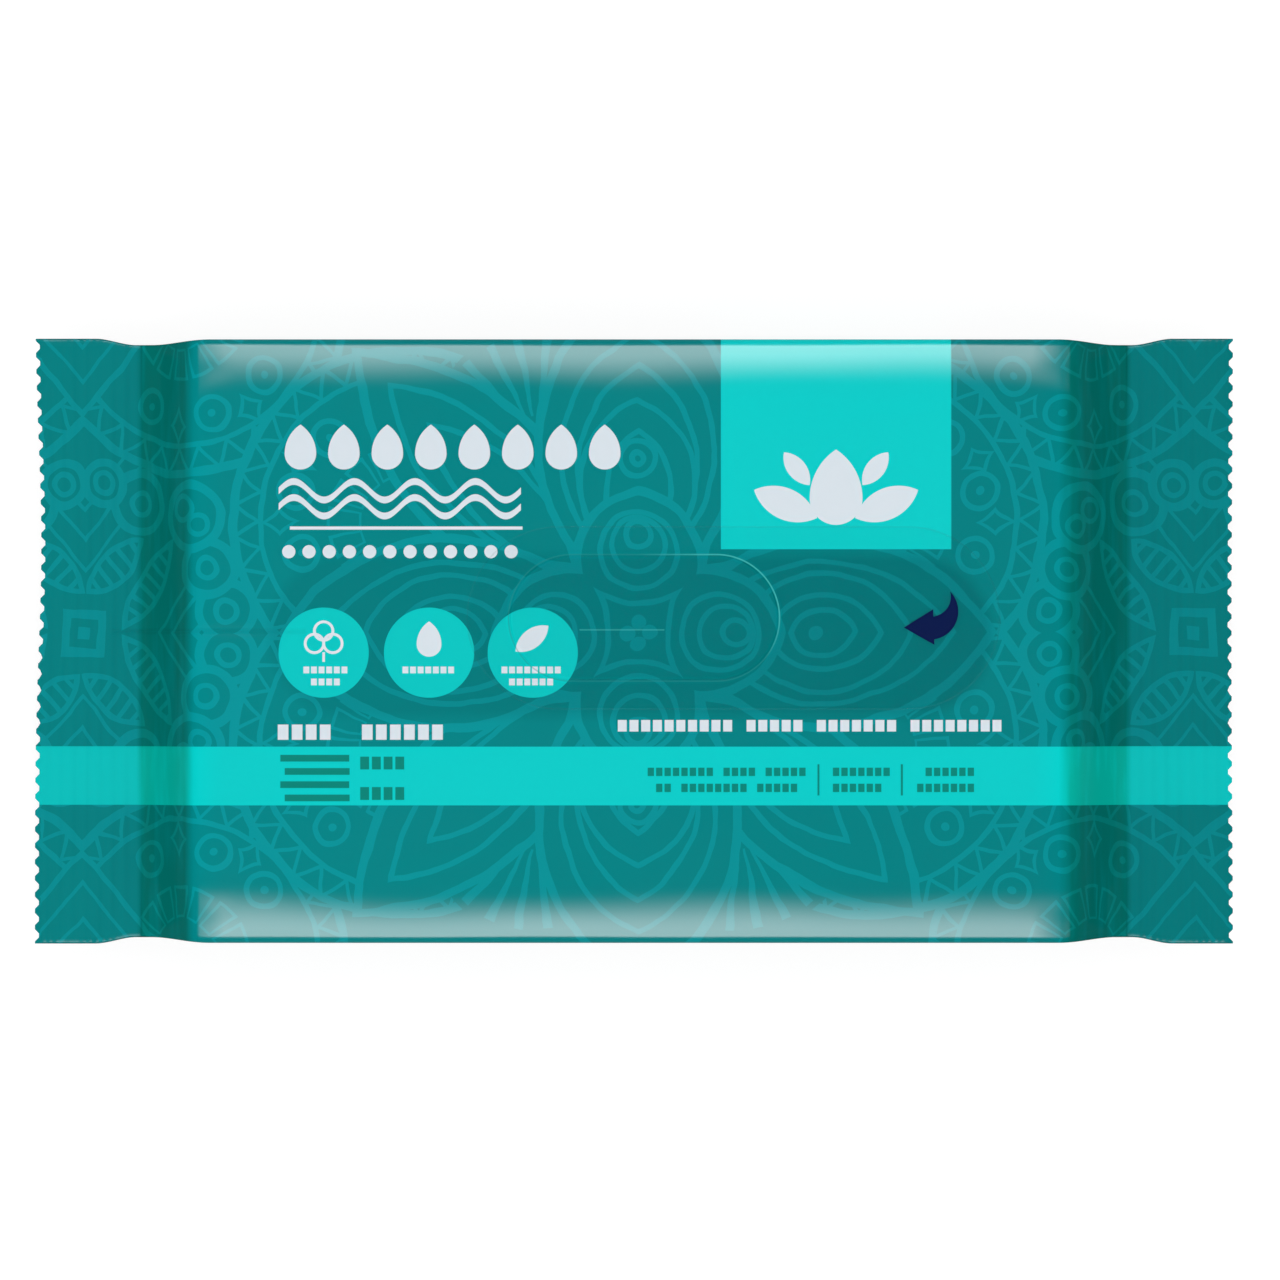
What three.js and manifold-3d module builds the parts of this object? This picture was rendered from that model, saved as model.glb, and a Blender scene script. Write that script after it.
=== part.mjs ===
// A sealed flow pack of wet wipes. A printed film wrapper is drawn tight round a folded
// stack, tucked in at the ends and crimped shut there. An opening is die-cut in its top
// panel, and a clear label that can be pulled up and stuck down again covers the cut.
// Millimetres, +Z up: X runs along the pack, Y across it. The origin is under the pack's
// centre, on the surface that the pack lies on.
import * as THREE from 'three';
import { mergeVertices } from 'three/addons/utils/BufferGeometryUtils.js';
import Module from 'manifold-3d';

const wasm = await Module();
wasm.setup();

// The filled body
const PACK_LENGTH = 150; // from one cut end to the other
const BODY_WIDTH = 75;
const PACK_HEIGHT = 16;
const SHOULDER_RADIUS = 4.6; // rounding of the film along the stack's long edges
const SLOPE_RUN = 7.4; // the film comes down from the panel to the seal over this length
const KNUCKLE = 1.1; // softness of the bend where the film leaves the panel

// The crimped end seals
const SEAL_LENGTH = 13.2;
const SEAL_WIDTH = 75.7;
const SEAL_THICKNESS = 0.6; // four layers of film at the tucks, with the crimp's relief
const NECK_WIDTH = 73.5; // the narrowest place, where the tucked film enters the seal
const NECK_FLARE = 6.5; // length of seal over which the neck opens to the full width
const CRIMP_COUNT = 8; // ribs pressed across each seal, side by side from neck to cut end
const CRIMP_DEPTH = 0.26;
const TOOTH_COUNT = 37; // zigzag knife teeth along each cut end
const TOOTH_DEPTH = 0.65;

// The lengthways seam under the pack, folded flat into the soft back panel
const FIN_WIDTH = 11;
const FIN_THICKNESS = 0.35;
const TROUGH_MARGIN = 3; // the panel is dented this far past the seam on each side
const TROUGH_RISE = 7; // and comes back to the resting surface over this length

// The die-cut opening and the label over it
const CUT_LENGTH = 34;
const CUT_WIDTH = 16;
const CUT_X = 1.25;
const CUT_Y = 2.9;
const CUT_GAP = 0.3; // width of the cut line round the flap
const FILM_THICKNESS = 0.12;
const LABEL_LENGTH = 66.6;
const LABEL_WIDTH = 22.9;
const LABEL_X = 12.4;
const LABEL_THICKNESS = 0.12;

// The rounding of a shoulder may take this share of half the height there
const ROUNDED_SHARE = 0.8;

// How finely curves are divided
const ARC_STEPS = 7;
const SLOPE_STEPS = 12;
const BODY_STEPS = 8;
const END_STEPS = 24;
const TROUGH_STEPS = 4;
const CRIMP_STEPS = 4;

// Worked out from the sizes above
const HALF_LENGTH = PACK_LENGTH / 2;
const SEAL_START = HALF_LENGTH - SEAL_LENGTH;
const BODY_END = SEAL_START - SLOPE_RUN;
const MIDDLE = PACK_HEIGHT / 2;
const HALF_SEAL = SEAL_THICKNESS / 2;
const CRIMP_PITCH = SEAL_LENGTH / CRIMP_COUNT;
const FIN_CENTRE = -FIN_WIDTH / 2; // the seam is folded from the centre line to one side
const OVERLAP = 0.3; // pieces of one solid run this far into each other before the join

const smooth = THREE.MathUtils.smoothstep;
const lerp = THREE.MathUtils.lerp;

// How far the film has come down at x: 0 over the stack, 1 at the seal
function fall(x) {
  const run = Math.max(0, Math.abs(x) - BODY_END);
  const softRamp = (d) => (Math.hypot(d - KNUCKLE, KNUCKLE) + d - KNUCKLE) / 2;
  const share = (softRamp(run) - softRamp(0)) / (softRamp(SLOPE_RUN) - softRamp(0));
  return Math.min(1, share);
}

// Distance between the top and back films at x
function heightAt(x) {
  return lerp(PACK_HEIGHT, SEAL_THICKNESS, fall(x));
}

// Half the pack's width at x: the ends draw in at the neck and flare again in the seal
function halfWidthAt(x) {
  const distance = Math.abs(x);
  if (distance < SEAL_START) {
    return lerp(BODY_WIDTH, NECK_WIDTH, smooth(distance, BODY_END, SEAL_START)) / 2;
  }
  const flare = smooth(distance, SEAL_START, SEAL_START + NECK_FLARE);
  return lerp(NECK_WIDTH, SEAL_WIDTH, flare) / 2;
}

// The back film from side to side at one height, dented over the seam so that the seam
// lies flush with the rest of the panel
function backOutline(height) {
  const near = FIN_WIDTH / 2 + TROUGH_MARGIN;
  const half = Array.from({ length: TROUGH_STEPS + 1 }, (_, i) => {
    const share = i / TROUGH_STEPS;
    return [near + TROUGH_RISE * share, height + FIN_THICKNESS * (1 - smooth(share, 0, 1))];
  });
  return [
    ...half.slice().reverse().map(([distance, z]) => [FIN_CENTRE + distance, z]),
    ...half.map(([distance, z]) => [FIN_CENTRE - distance, z]),
  ];
}

// One side of the section, as [y, z] from the panel's edge round the shoulder to the tuck.
// The side film keeps its length, so the nearer the panels come, the deeper it tucks in.
function sideOutline(x) {
  const half = halfWidthAt(x);
  const rise = heightAt(x) / 2;
  const tuck = Math.sqrt(Math.max(0, MIDDLE ** 2 - rise ** 2));
  const lean = Math.atan2(tuck, rise);
  const radius = Math.min(SHOULDER_RADIUS, (ROUNDED_SHARE * rise) / (1 + Math.sin(lean)));
  const points = [];
  for (let i = 0; i <= ARC_STEPS; i += 1) {
    const angle = lerp(Math.PI / 2, -lean, i / ARC_STEPS);
    points.push([half - radius + radius * Math.cos(angle), rise - radius + radius * Math.sin(angle)]);
  }
  points.push([half - tuck, 0]);
  return points;
}

// The closed section at x, round from the top panel by one tuck, the back and the other tuck
function sectionAt(x) {
  const side = sideOutline(x);
  const rounding = side.slice(0, -1);
  const [tuckY] = side.at(-1);
  const turnBack = (points) => points.slice().reverse();
  return [
    ...rounding.map(([y, z]) => [y, MIDDLE + z]),
    [tuckY, MIDDLE],
    ...turnBack(rounding).map(([y, z]) => [y, MIDDLE - z]),
    ...backOutline(MIDDLE - heightAt(x) / 2),
    ...rounding.map(([y, z]) => [-y, MIDDLE - z]),
    [-tuckY, MIDDLE],
    ...turnBack(rounding).map(([y, z]) => [-y, MIDDLE + z]),
  ];
}

// A closed surface through sections of the same number of points
function loft(stations) {
  const rings = stations.map((x) => sectionAt(x));
  const count = rings[0].length;
  const positions = [];
  rings.forEach((ring, i) => ring.forEach(([y, z]) => positions.push(stations[i], y, z)));
  const faces = [];
  for (let i = 0; i + 1 < rings.length; i += 1) {
    for (let j = 0; j < count; j += 1) {
      const k = (j + 1) % count;
      const [a, b] = [i * count + j, i * count + k];
      faces.push(a, a + count, b, b, a + count, b + count);
    }
  }
  const closeEnd = (i, facesBack) => {
    const outline = rings[i].map(([y, z]) => new THREE.Vector2(y, z));
    THREE.ShapeUtils.triangulateShape(outline, []).forEach((corners) => {
      const face = corners.map((corner) => corner + i * count);
      faces.push(...(facesBack ? face.reverse() : face));
    });
  };
  closeEnd(0, true);
  closeEnd(rings.length - 1, false);
  const geometry = new THREE.BufferGeometry();
  geometry.setAttribute('position', new THREE.Float32BufferAttribute(positions, 3));
  geometry.setIndex(faces);
  return geometry;
}

function solidOf(geometry) {
  const plain = geometry.clone();
  plain.deleteAttribute('normal');
  plain.deleteAttribute('uv');
  const merged = mergeVertices(plain);
  return new wasm.Manifold(new wasm.Mesh({
    numProp: 3,
    vertProperties: new Float32Array(merged.attributes.position.array),
    triVerts: new Uint32Array(merged.index.array),
  }));
}

function geometryOf(solid) {
  const { vertProperties, triVerts } = solid.getMesh();
  const geometry = new THREE.BufferGeometry();
  geometry.setAttribute('position', new THREE.BufferAttribute(vertProperties, 3));
  geometry.setIndex(new THREE.BufferAttribute(triVerts, 1));
  geometry.computeVertexNormals();
  return geometry;
}

// An outline in X and Z, drawn out across the pack and centred on y
function acrossPack(outline, width, y) {
  const shape = new THREE.Shape(outline.map(([x, z]) => new THREE.Vector2(x, z)));
  const geometry = new THREE.ExtrudeGeometry(shape, { depth: width, bevelEnabled: false });
  geometry.rotateX(Math.PI / 2);
  geometry.translate(0, y + width / 2, 0);
  return geometry;
}

// A plan outline drawn up from one height
function upwards(shape, base, height) {
  const geometry = new THREE.ExtrudeGeometry(shape, {
    depth: height, bevelEnabled: false, curveSegments: END_STEPS,
  });
  geometry.translate(0, 0, base);
  return geometry;
}

// A straight-sided plan outline with round ends
function roundEnded(length, width, x, y) {
  const radius = width / 2;
  const reach = length / 2 - radius;
  const shape = new THREE.Shape();
  shape.moveTo(x - reach, y - radius);
  shape.lineTo(x + reach, y - radius);
  shape.absarc(x + reach, y, radius, -Math.PI / 2, Math.PI / 2, false);
  shape.lineTo(x - reach, y + radius);
  shape.absarc(x - reach, y, radius, Math.PI / 2, (3 * Math.PI) / 2, false);
  return shape;
}

// The stations of the loft, closer together on the slopes
function bodyStations() {
  const slope = Array.from({ length: SLOPE_STEPS + 1 }, (_, i) => BODY_END + (SLOPE_RUN * i) / SLOPE_STEPS);
  const body = Array.from({ length: BODY_STEPS - 1 }, (_, i) => lerp(-BODY_END, BODY_END, (i + 1) / BODY_STEPS));
  return [...slope.slice().reverse().map((x) => -x), ...body, ...slope];
}

// The plan of the whole pack at its ends: zigzag cut, seal edge and neck. Over the body it
// runs clear of the film, which has its own width there.
function planOutline() {
  const end = [];
  const tooth = SEAL_WIDTH / TOOTH_COUNT;
  for (let i = 0; i <= TOOTH_COUNT * 2; i += 1) {
    const depth = i % 2 === 0 ? TOOTH_DEPTH : 0;
    end.push([HALF_LENGTH - depth, -SEAL_WIDTH / 2 + (tooth * i) / 2]);
  }
  const edge = [];
  for (let i = 1; i <= ARC_STEPS; i += 1) {
    const x = lerp(SEAL_START + NECK_FLARE, SEAL_START - OVERLAP, i / ARC_STEPS);
    edge.push([x, halfWidthAt(x)]);
  }
  const clear = [BODY_END, BODY_WIDTH];
  const quarter = [...edge, clear];
  const turned = (points) => points.map(([x, y]) => [-x, -y]);
  const mirrored = quarter.slice().reverse().map(([x, y]) => [-x, y]);
  const half = [...end, ...quarter, ...mirrored];
  return new THREE.Shape([...half, ...turned(half)].map(([x, y]) => new THREE.Vector2(x, y)));
}

// One crimped seal, as a ribbed sheet at the pack's middle height
function sealSheet(direction) {
  const steps = CRIMP_COUNT * CRIMP_STEPS;
  const ribs = Array.from({ length: steps + 1 }, (_, i) => {
    const rise = (CRIMP_DEPTH / 2) * Math.sin((i / CRIMP_STEPS) * 2 * Math.PI);
    return [direction * lerp(SEAL_START, HALF_LENGTH, i / steps), MIDDLE + rise];
  });
  const line = [[direction * (SEAL_START - OVERLAP), MIDDLE], ...ribs];
  const upper = line.map(([x, z]) => [x, z + HALF_SEAL]);
  const lower = line.slice().reverse().map(([x, z]) => [x, z - HALF_SEAL]);
  return acrossPack([...upper, ...lower], SEAL_WIDTH, 0);
}

// The seam strip, which follows the back film from one cut end to the other
function finStrip() {
  const bottomAt = (x) => {
    const drop = FIN_THICKNESS * smooth(Math.abs(x), SEAL_START, SEAL_START + CRIMP_PITCH);
    return MIDDLE - heightAt(x) / 2 - drop;
  };
  const topAt = (x) => Math.min(bottomAt(x) + FIN_THICKNESS + OVERLAP, MIDDLE);
  const ends = [HALF_LENGTH, SEAL_START + CRIMP_PITCH, SEAL_START + CRIMP_PITCH / 2];
  const stations = [...ends.map((x) => -x), ...bodyStations(), ...ends.slice().reverse()];
  const lower = stations.map((x) => [x, bottomAt(x)]);
  const upper = stations.slice().reverse().map((x) => [x, topAt(x)]);
  return acrossPack([...lower, ...upper], FIN_WIDTH, FIN_CENTRE);
}

// The film wrapper with what it holds: one sealed solid, with the cut line in its top panel
function wrapperGeometry() {
  const plan = solidOf(upwards(planOutline(), -PACK_HEIGHT, 3 * PACK_HEIGHT));
  const trimmed = solidOf(sealSheet(1))
    .add(solidOf(sealSheet(-1)))
    .add(solidOf(finStrip()))
    .intersect(plan);
  const recess = roundEnded(CUT_LENGTH, CUT_WIDTH, CUT_X, CUT_Y);
  const cut = solidOf(upwards(recess, PACK_HEIGHT - FILM_THICKNESS, PACK_HEIGHT));
  return geometryOf(solidOf(loft(bodyStations())).add(trimmed).subtract(cut));
}

// The piece of film inside the cut line, which comes up with the label
function flapGeometry() {
  const outline = roundEnded(CUT_LENGTH - 2 * CUT_GAP, CUT_WIDTH - 2 * CUT_GAP, 0, 0);
  return upwards(outline, 0, FILM_THICKNESS);
}

// The clear label, stuck to the panel and to the flap
function labelGeometry() {
  return upwards(roundEnded(LABEL_LENGTH, LABEL_WIDTH, 0, 0), 0, LABEL_THICKNESS);
}

const printedFilm = new THREE.MeshStandardMaterial({ color: 0x027b7e, roughness: 0.34, metalness: 0 });
const clearFilm = new THREE.MeshStandardMaterial({
  color: 0xe4f2f2, roughness: 0.16, metalness: 0, transparent: true, opacity: 0.2,
});

function named(name, geometry, material, x, y, z) {
  const mesh = new THREE.Mesh(geometry, material);
  mesh.name = name;
  mesh.position.set(x, y, z);
  return mesh;
}

const pack = new THREE.Group();
pack.add(
  named('film_wrapper', wrapperGeometry(), printedFilm, 0, 0, 0),
  named('opening_flap', flapGeometry(), printedFilm, CUT_X, CUT_Y, PACK_HEIGHT - FILM_THICKNESS),
  named('reseal_label', labelGeometry(), clearFilm, LABEL_X, CUT_Y, PACK_HEIGHT),
);

export default pack;
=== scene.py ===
# The looks of a wet wipes pack: a printed flow pack lying on its back panel, seen from above.
# Distances are in millimetres until a mesh, a camera or a lamp is made from them.
import math

import bpy
import numpy as np
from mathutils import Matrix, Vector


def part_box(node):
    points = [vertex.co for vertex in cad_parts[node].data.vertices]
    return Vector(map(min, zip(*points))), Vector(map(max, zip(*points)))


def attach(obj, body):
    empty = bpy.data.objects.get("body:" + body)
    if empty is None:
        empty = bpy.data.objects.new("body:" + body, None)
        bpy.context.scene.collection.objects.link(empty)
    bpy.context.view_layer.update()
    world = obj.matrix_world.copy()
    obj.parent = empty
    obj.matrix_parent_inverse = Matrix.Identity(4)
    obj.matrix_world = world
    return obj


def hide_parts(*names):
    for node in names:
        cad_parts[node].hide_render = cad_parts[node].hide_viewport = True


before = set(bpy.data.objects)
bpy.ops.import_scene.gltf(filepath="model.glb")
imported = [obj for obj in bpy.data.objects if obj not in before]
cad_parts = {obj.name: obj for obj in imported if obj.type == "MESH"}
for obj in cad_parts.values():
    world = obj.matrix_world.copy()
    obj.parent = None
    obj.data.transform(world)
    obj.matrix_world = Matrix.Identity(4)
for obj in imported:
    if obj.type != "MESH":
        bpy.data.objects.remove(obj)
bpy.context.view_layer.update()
MM = 0.001

# The camera hangs far above the pack and looks straight down through a long lens, so that the
# long sides hardly show. The pack lies a little to the left of the middle of the picture.
FRAME_WIDTH = 159.9
FRAME_MIDDLE = (0.75, 0.14)
CAMERA_HEIGHT = 2000.0
FOCUS_HEIGHT = 12.0

camera = bpy.data.objects.new("camera", bpy.data.cameras.new("camera"))
bpy.context.scene.collection.objects.link(camera)
bpy.context.scene.camera = camera
camera.data.sensor_width = 36.0
camera.data.lens = camera.data.sensor_width * (CAMERA_HEIGHT - FOCUS_HEIGHT) / FRAME_WIDTH
camera.data.clip_start, camera.data.clip_end = 0.1, 20.0
camera.location = (FRAME_MIDDLE[0] * MM, FRAME_MIDDLE[1] * MM, CAMERA_HEIGHT * MM)


class Shade:
    """A socket of one shader tree. Arithmetic on it adds Math nodes, and & | ~ work on masks."""

    def __init__(self, tree, socket=None):
        self.tree = tree
        self.socket = socket

    def node(self, kind, settings=None, values=None, output=0):
        """The output of a new node, with its settings made first and then its sockets' values."""
        made = self.tree.nodes.new("ShaderNode" + kind)
        for name, setting in (settings or {}).items():
            setattr(made, name, setting)
        for name, value in (values or {}).items():
            if isinstance(value, Shade):
                self.tree.links.new(value.socket, made.inputs[name])
            else:
                made.inputs[name].default_value = value
        return Shade(self.tree, made.outputs[output]) if made.outputs else None

    def math(self, operation, *values):
        """One Math node with this socket as its first value."""
        return self.node("Math", {"operation": operation}, dict(enumerate((self, *values))))

    def __add__(self, other):
        return self.math("ADD", other)

    def __sub__(self, other):
        return self.math("SUBTRACT", other)

    def __rsub__(self, other):
        return self.math("MULTIPLY_ADD", -1.0, other)

    def __mul__(self, other):
        return self.math("MULTIPLY", other)

    def __truediv__(self, other):
        return self.math("DIVIDE", other)

    def __pow__(self, other):
        return self.math("POWER", other)

    def __abs__(self):
        return self.math("ABSOLUTE")

    def __lt__(self, other):
        return self.math("LESS_THAN", other)

    def __gt__(self, other):
        return self.math("GREATER_THAN", other)

    def __and__(self, other):
        return self.math("MULTIPLY", other)

    def __or__(self, other):
        return self.math("MAXIMUM", other)

    def __invert__(self):
        return 1.0 - self

    __radd__, __rmul__ = __add__, __mul__

    def near(self, value, reach):
        """1 where the socket is within reach of the value, else 0."""
        return self.math("COMPARE", value, reach)

    def distance(self, x, y):
        """How far the point that this vector socket gives is from a fixed point."""
        away = {"operation": "DISTANCE"}
        return self.node("VectorMath", away, {0: self, 1: (x, y, 0.0)}, output=1)

    def mixed(self, first, second):
        """The first colour where this mask is 0 and the second where it is 1."""
        blend = {"data_type": "RGBA"}
        return self.node("Mix", blend, {0: self, 6: first, 7: second}, output=2)


def shader_tree(name):
    """A new material with an empty tree, and a Shade to start its nodes from."""
    material = bpy.data.materials.new(name)
    material.use_nodes = True
    material.node_tree.nodes.clear()
    return material, Shade(material.node_tree)


# The table is a plain matt sheet. It keeps the pack's soft shadow, and a light of its own, seen
# only by the camera, brings the lit sheet up to plain white.
TABLE_SIZE = 3.0
TABLE_DROP = 0.0002
TABLE_GREY = (0.24, 0.24, 0.24, 1.0)
TABLE_LIFT = 0.83
WHITE = (1.0, 1.0, 1.0, 1.0)

table_paint, start = shader_tree("table_paint")
seen = start.node("LightPath")
sheet = start.node("BsdfDiffuse", {}, {"Color": TABLE_GREY})
glow = start.node("Emission", {}, {"Color": WHITE, "Strength": TABLE_LIFT})
lit = start.node("AddShader", {}, {0: sheet, 1: glow})
surface = start.node("MixShader", {}, {0: seen, 1: sheet, 2: lit})
start.node("OutputMaterial", {}, {"Surface": surface})
bpy.ops.mesh.primitive_plane_add(size=TABLE_SIZE, location=(0.0, 0.0, -TABLE_DROP))
table = bpy.context.object
table.name = "table"
table.data.materials.append(table_paint)

# Two long strips of light hang high over the pack's long sides, so the film has a whitish sheen
# only where its shoulders lean towards them. A low glow goes round the room. A wide ceiling lights
# the colours evenly and makes no sheen of its own. The reaches are parts of a direction's length.
STRIP_LIGHT = 6.7
STRIP_OFFSET = 0.025
STRIP_RISE = (0.143, 0.60)
STRIP_CURVE = 1.2
STRIP_OUTER_EDGE = (0.66, 0.60)
STRIP_ENDS = (0.36, 0.10)
GLOW = 0.22
GLOW_RISE = (0.36, 0.04)
DIM = 0.012
CEILING_LIGHT = 2.2
CEILING_SPREAD = 170.0

world = bpy.data.worlds.new("studio")
bpy.context.scene.world = world
world.use_nodes = True
world.node_tree.nodes.clear()
start = Shade(world.node_tree)
along, across, up = (start.node("SeparateXYZ", {}, {0: start.node("TexCoord")}, output=i)
                     for i in range(3))


def eased(value, first, last):
    """A smooth change from 0 at the first level of a socket to 1 at the last."""
    return start.node("MapRange", {"interpolation_type": "SMOOTHSTEP"}, {0: value, 1: first, 2: last})


strips = eased(abs(across - STRIP_OFFSET), *STRIP_RISE) ** STRIP_CURVE
strips = strips * eased(abs(across), *STRIP_OUTER_EDGE) * eased(abs(along), *STRIP_ENDS)
level = strips * STRIP_LIGHT + eased(up, *GLOW_RISE) * GLOW + DIM
seen = start.node("LightPath")
level = seen + ~seen * level
start.node("OutputWorld", {}, {"Surface": start.node("Background", {}, {"Strength": level})})

ceiling = bpy.data.objects.new("ceiling", bpy.data.lights.new("ceiling", "SUN"))
bpy.context.scene.collection.objects.link(ceiling)
ceiling.data.energy = CEILING_LIGHT
ceiling.data.angle = math.radians(CEILING_SPREAD)
ceiling.visible_glossy = False

bpy.context.scene.view_settings.view_transform = "Standard"


# The film wrapper is one sheet of plastic film, drawn into a tube of fixed girth round the folded
# stack. Near each end its top and back come together, so its sides tuck in, and hot ribbed jaws
# crimp the layers flat. The zigzag knife cuts the ends.
pack_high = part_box("film_wrapper")[1] / MM
HALF_LENGTH = pack_high.x
SEAL_HALF_WIDTH = pack_high.y
PACK_HEIGHT = pack_high.z
MIDDLE = PACK_HEIGHT / 2
SEAL_LENGTH = 13.2
SLOPE_RUN = 7.4
KNUCKLE = 1.0
SLOPE_EASE = 1.22
SLOPE_LEAD = 2.4
SEAL_START = HALF_LENGTH - SEAL_LENGTH
BODY_END = SEAL_START - SLOPE_RUN
BODY_HALF_WIDTH = 37.66
NECK_HALF_WIDTH = 37.05
NECK_FLARE = 5.6
ROUNDED_SHARE = 0.85
FILM_GAP = 0.11
CUT_END_GAP = 0.02
TUCK_GAP = 0.17
TUCK_EDGE = (30.6, 31.6)
TUCKED_ROWS = 24
CROWN = 0.22
PANEL_SAG = 0.12
# the shoulder bends gently from the panel, runs on almost straight, then turns down sharply
TURN = np.linspace(0.0, math.pi, 1441)
BEND = np.interp(np.degrees(TURN), [0, 15.7, 16, 17, 17.5, 180],
                 [21.0, 21.0, 67.5, 67.5, 0.45, 0.45])
ARC, RUN, DROP = (np.concatenate([[0.0], np.cumsum((BEND * part)[1:] * TURN[1])])
                  for part in (np.ones_like(TURN), np.cos(TURN), np.sin(TURN)))
UPRIGHT = len(TURN) // 2
SHOULDER_ARC, SHOULDER_RUN, SHOULDER_DROP = (float(part[UPRIGHT]) for part in (ARC, RUN, DROP))
QUARTER = BODY_HALF_WIDTH - SHOULDER_RUN + SHOULDER_ARC + MIDDLE - SHOULDER_DROP
TOOTH_COUNT = 37
TOOTH_DEPTH = 0.5
TOOTH = 2 * SEAL_HALF_WIDTH / TOOTH_COUNT
# each cut end is pulled in a little round one place: by how much, where, and how far round it
END_BOW = {-1: (0.8, 12.0, 18.0), 1: (0.2, 0.0, 26.0)}
RIB_COUNT = 8
RIB_HEIGHT = 0.085
RIB_PITCH = SEAL_LENGTH / RIB_COUNT
PRESS_MEAN, PRESS_SWING = 0.72, 0.28
RINGS_A_RIB = 6
SLOPE_RINGS = 29
BODY_RINGS = 86
FIN_THICKNESS = 0.3
INNER_FIN_DEPTH = 0.06
FIN_COLUMNS = 21
FIN_BEND = 0.3
FIN_WIDTH = FIN_COLUMNS * TOOTH / 4 + FIN_BEND
TROUGH_MARGIN = 3.0
TROUGH_RISE = 7.0
FLOOR_CLEARANCE = 0.012
SEAL_FLATTENING = 0.85
BACK_FOLDS = 0.6
BAKE_MARGIN = 0.99
BAKE_CLOSING_EDGE = 0.994
draw = np.random.default_rng(15)


def smooth(value, start, end):
    """0 before start, 1 past end, and a smooth rise between them."""
    share = np.clip((value - start) / (end - start), 0.0, 1.0)
    return share * share * (3 - 2 * share)


def fall(x):
    """How far the film has come down at x: 0 over the stack, 1 at the seal."""
    def soft(run):
        return (np.hypot(run - KNUCKLE, KNUCKLE) + run - KNUCKLE) / 2
    run = np.maximum(0.0, np.abs(x) - BODY_END)
    share = (soft(run) - soft(0.0)) / (soft(SLOPE_RUN) - soft(0.0))
    return 1 - (1 - np.minimum(1.0, share)) ** SLOPE_EASE


def half_width_at(x):
    """Half the pack's width at x, drawn in at the necks and flared again in the seals."""
    distance = abs(x)
    if distance < SEAL_START:
        share = smooth(distance, BODY_END - 1.5, SEAL_START - 1.5)
        return BODY_HALF_WIDTH + (NECK_HALF_WIDTH - BODY_HALF_WIDTH) * share
    share = smooth(distance, SEAL_START + 0.5, SEAL_START + NECK_FLARE)
    return NECK_HALF_WIDTH + (SEAL_HALF_WIDTH - NECK_HALF_WIDTH) * share


def tube_shape(width, rise):
    """How far the side leans in, and the shoulder's size, where the tube keeps its girth."""
    low, high = 0.0, math.radians(89.0)
    for _ in range(40):
        lean = (low + high) / 2
        arc, depth = (float(np.interp(math.pi / 2 + lean, TURN, along)) for along in (ARC, DROP))
        size = min(1.0, ROUNDED_SHARE * rise / depth)
        side = (rise - size * depth) / math.cos(lean)
        if width + size * (arc - SHOULDER_RUN) + side > QUARTER:
            high = lean
        else:
            low = lean
    return lean, size


def quarter_section(width, rise, lean, size, around):
    """Where film at each distance round from the centre line lies in a quarter of the tube."""
    straight = width - size * SHOULDER_RUN
    bent = size * float(np.interp(math.pi / 2 + lean, TURN, ARC))
    at = np.interp(np.clip(around - straight, 0.0, bent) / size, ARC, TURN)
    along = np.maximum(0.0, around - straight - bent)
    y = np.minimum(around, straight) + size * np.interp(at, TURN, RUN) - along * math.sin(lean)
    z = rise - size * np.interp(at, TURN, DROP) - along * math.cos(lean)
    return y, z


# small folds of the film as lines on the panel: where each starts and ends, its width and height
CREASES = [
    ((-69.0, 1.2), (-42.5, 1.25), 0.55, 0.10),
    ((-8.0, 1.15), (3.0, 1.2), 0.5, 0.06),
    ((7.0, 24.9), (25.0, 24.8), 0.5, 0.05),
]
for end in (-1, 1):
    for corner in (-1, 1):
        CREASES.append(((end * 50.5, corner * 34.6), (end * 60.8, corner * 30.6), 1.6, -0.09))
        CREASES.append(((end * 54.0, corner * 36.2), (end * 61.0, corner * 34.2), 0.9, 0.06))
    for place in np.linspace(-29.0, 29.0, 9):
        y = place + draw.uniform(-2.4, 2.4)
        lean = draw.uniform(-2.5, 2.5)
        reach = draw.uniform(51.0, 56.0)
        height = draw.uniform(0.03, 0.09) * draw.choice([-1, 1])
        line = ((end * 61.6, y), (end * reach, y + lean))
        CREASES.append((*line, draw.uniform(0.7, 1.5), height))
WAVE_HEIGHT = 0.035
WAVES = [(draw.uniform(0.06, 0.19), draw.uniform(0, math.tau), draw.uniform(0, math.tau))
         for _ in range(7)]


def ripple(x, y):
    """Height of the film's small folds and slow waves at a place on a panel."""
    height = np.zeros(np.broadcast(x, y).shape)
    for (x0, y0), (x1, y1), width, rise in CREASES:
        dx, dy = x1 - x0, y1 - y0
        share = ((x - x0) * dx + (y - y0) * dy) / (dx * dx + dy * dy)
        across = ((x - x0) * dy - (y - y0) * dx) / math.hypot(dx, dy)
        ends = smooth(share, -0.04, 0.22) * (1 - smooth(share, 0.75, 1.04))
        height = height + rise * ends * np.exp(-((across / width) ** 2))
    for frequency, heading, phase in WAVES:
        course = x * math.cos(heading) + y * math.sin(heading)
        height = height + WAVE_HEIGHT * np.sin(course * frequency * 2 + phase)
    return height


def panel_height(x, y):
    """Height of the top panel's film over the stack."""
    dome = CROWN * (np.abs(y) / BODY_HALF_WIDTH) ** 2
    return PACK_HEIGHT - PANEL_SAG - dome + ripple(x, y)


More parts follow.
